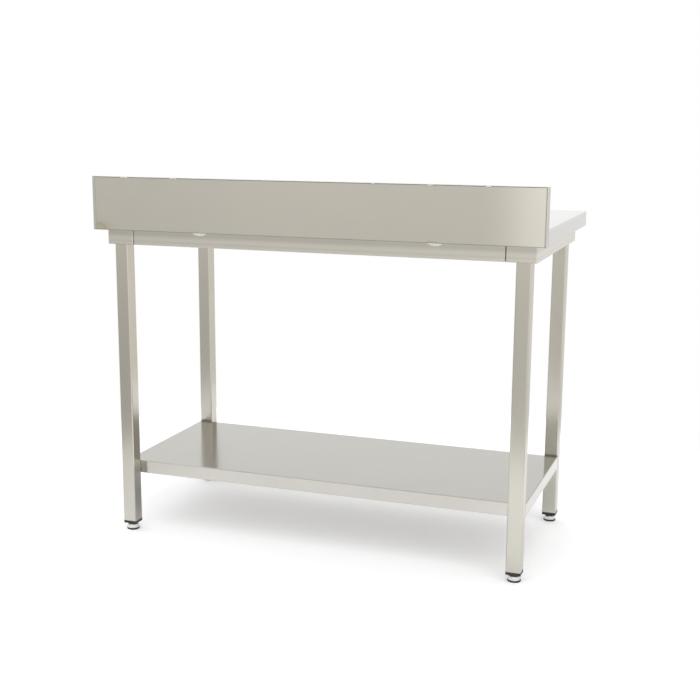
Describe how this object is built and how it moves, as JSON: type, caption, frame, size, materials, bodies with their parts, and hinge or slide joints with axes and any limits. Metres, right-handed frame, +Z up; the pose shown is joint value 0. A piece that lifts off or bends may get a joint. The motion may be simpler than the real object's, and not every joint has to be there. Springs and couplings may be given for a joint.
{
  "type": "stainless work table",
  "caption": "Free-standing stainless work table with a boxed rear upstand, an under-shelf, square tube legs and screw-in levelling feet.",
  "frame": {"origin": "centre of the 1200 x 600 mm footprint, on the floor", "axes": "+X along the worktop to the user's right, +Y from the user towards the upstand and the wall, +Z up"},
  "size_m": [1.2, 0.6, 0.985],
  "materials": {
    "worktop_steel": "fine brushed along the length",
    "upstand_steel": "fine brushed along the length",
    "shelf_steel": "fine brushed along the length",
    "frame_steel": "fine brushed",
    "leg_steel": "fine brushed down the tube",
    "plate_steel": "mill finish sheet",
    "fastener_steel": "plain stainless",
    "stud_steel": "bright zinc plated",
    "foot_steel": "pressed and bright zinc plated",
    "cap_plastic": "moulded black polyamide",
    "foot_rubber": "moulded black rubber"
  },
  "bodies": {
    "table": {"cross_member_left": "frame_steel", "cross_member_right": "frame_steel", "front_rail": "frame_steel", "leg_cap_front_left": "cap_plastic", "leg_cap_front_right": "cap_plastic", "leg_cap_nut_front_left": "fastener_steel", "leg_cap_nut_front_right": "fastener_steel", "leg_cap_nut_rear_left": "fastener_steel", "leg_cap_nut_rear_right": "fastener_steel", "leg_cap_rear_left": "cap_plastic", "leg_cap_rear_right": "cap_plastic", "leg_front_left": "leg_steel", "leg_front_right": "leg_steel", "leg_head_nuts": "fastener_steel", "leg_head_plate_front_left": "plate_steel", "leg_head_plate_front_right": "plate_steel", "leg_head_plate_rear_left": "plate_steel", "leg_head_plate_rear_right": "plate_steel", "leg_head_screws": "fastener_steel", "leg_rear_left": "leg_steel", "leg_rear_right": "leg_steel", "rail_nuts": "fastener_steel", "rail_screws": "fastener_steel", "rear_rail": "frame_steel", "shelf_rivet_nuts": "fastener_steel", "shelf_screws": "fastener_steel", "shelf_stiffener": "plate_steel", "shelf_tray": "shelf_steel", "top_stiffener_front": "plate_steel", "top_stiffener_rear": "plate_steel", "upstand_back_panel": "upstand_steel", "upstand_end_left": "upstand_steel", "upstand_end_right": "upstand_steel", "worktop_skin": "worktop_steel"},
    "foot_base_front_left": {"foot_dome_front_left": "foot_steel", "foot_pad_front_left": "foot_rubber"},
    "foot_screw_front_left": {"foot_stud_front_left": "stud_steel"},
    "foot_base_front_right": {"foot_dome_front_right": "foot_steel", "foot_pad_front_right": "foot_rubber"},
    "foot_screw_front_right": {"foot_stud_front_right": "stud_steel"},
    "foot_base_rear_left": {"foot_dome_rear_left": "foot_steel", "foot_pad_rear_left": "foot_rubber"},
    "foot_screw_rear_left": {"foot_stud_rear_left": "stud_steel"},
    "foot_base_rear_right": {"foot_dome_rear_right": "foot_steel", "foot_pad_rear_right": "foot_rubber"},
    "foot_screw_rear_right": {"foot_stud_rear_right": "stud_steel"}
  },
  "joints": [
    {"name": "foot_travel_front_left", "type": "slide", "parent": "table", "child": "foot_base_front_left", "axis": [0, 0, -1], "range_m": [0, 0.025]},
    {"name": "foot_turn_front_left", "type": "hinge", "parent": "foot_base_front_left", "child": "foot_screw_front_left", "pos_m": [-0.542, -0.251, 0.0184], "axis": [0, 0, -1], "range_deg": [0, 6000]},
    {"name": "foot_travel_front_right", "type": "slide", "parent": "table", "child": "foot_base_front_right", "axis": [0, 0, -1], "range_m": [0, 0.025]},
    {"name": "foot_turn_front_right", "type": "hinge", "parent": "foot_base_front_right", "child": "foot_screw_front_right", "pos_m": [0.542, -0.251, 0.0184], "axis": [0, 0, -1], "range_deg": [0, 6000]},
    {"name": "foot_travel_rear_left", "type": "slide", "parent": "table", "child": "foot_base_rear_left", "axis": [0, 0, -1], "range_m": [0, 0.025]},
    {"name": "foot_turn_rear_left", "type": "hinge", "parent": "foot_base_rear_left", "child": "foot_screw_rear_left", "pos_m": [-0.542, 0.241, 0.0184], "axis": [0, 0, -1], "range_deg": [0, 6000]},
    {"name": "foot_travel_rear_right", "type": "slide", "parent": "table", "child": "foot_base_rear_right", "axis": [0, 0, -1], "range_m": [0, 0.025]},
    {"name": "foot_turn_rear_right", "type": "hinge", "parent": "foot_base_rear_right", "child": "foot_screw_rear_right", "pos_m": [0.542, 0.241, 0.0184], "axis": [0, 0, -1], "range_deg": [0, 6000]}
  ],
  "couplings": [
    {"joint": "foot_turn_front_left", "follows": "foot_travel_front_left", "rad_per_m": 4188.8},
    {"joint": "foot_turn_front_right", "follows": "foot_travel_front_right", "rad_per_m": 4188.8},
    {"joint": "foot_turn_rear_left", "follows": "foot_travel_rear_left", "rad_per_m": 4188.8},
    {"joint": "foot_turn_rear_right", "follows": "foot_travel_rear_right", "rad_per_m": 4188.8}
  ]
}
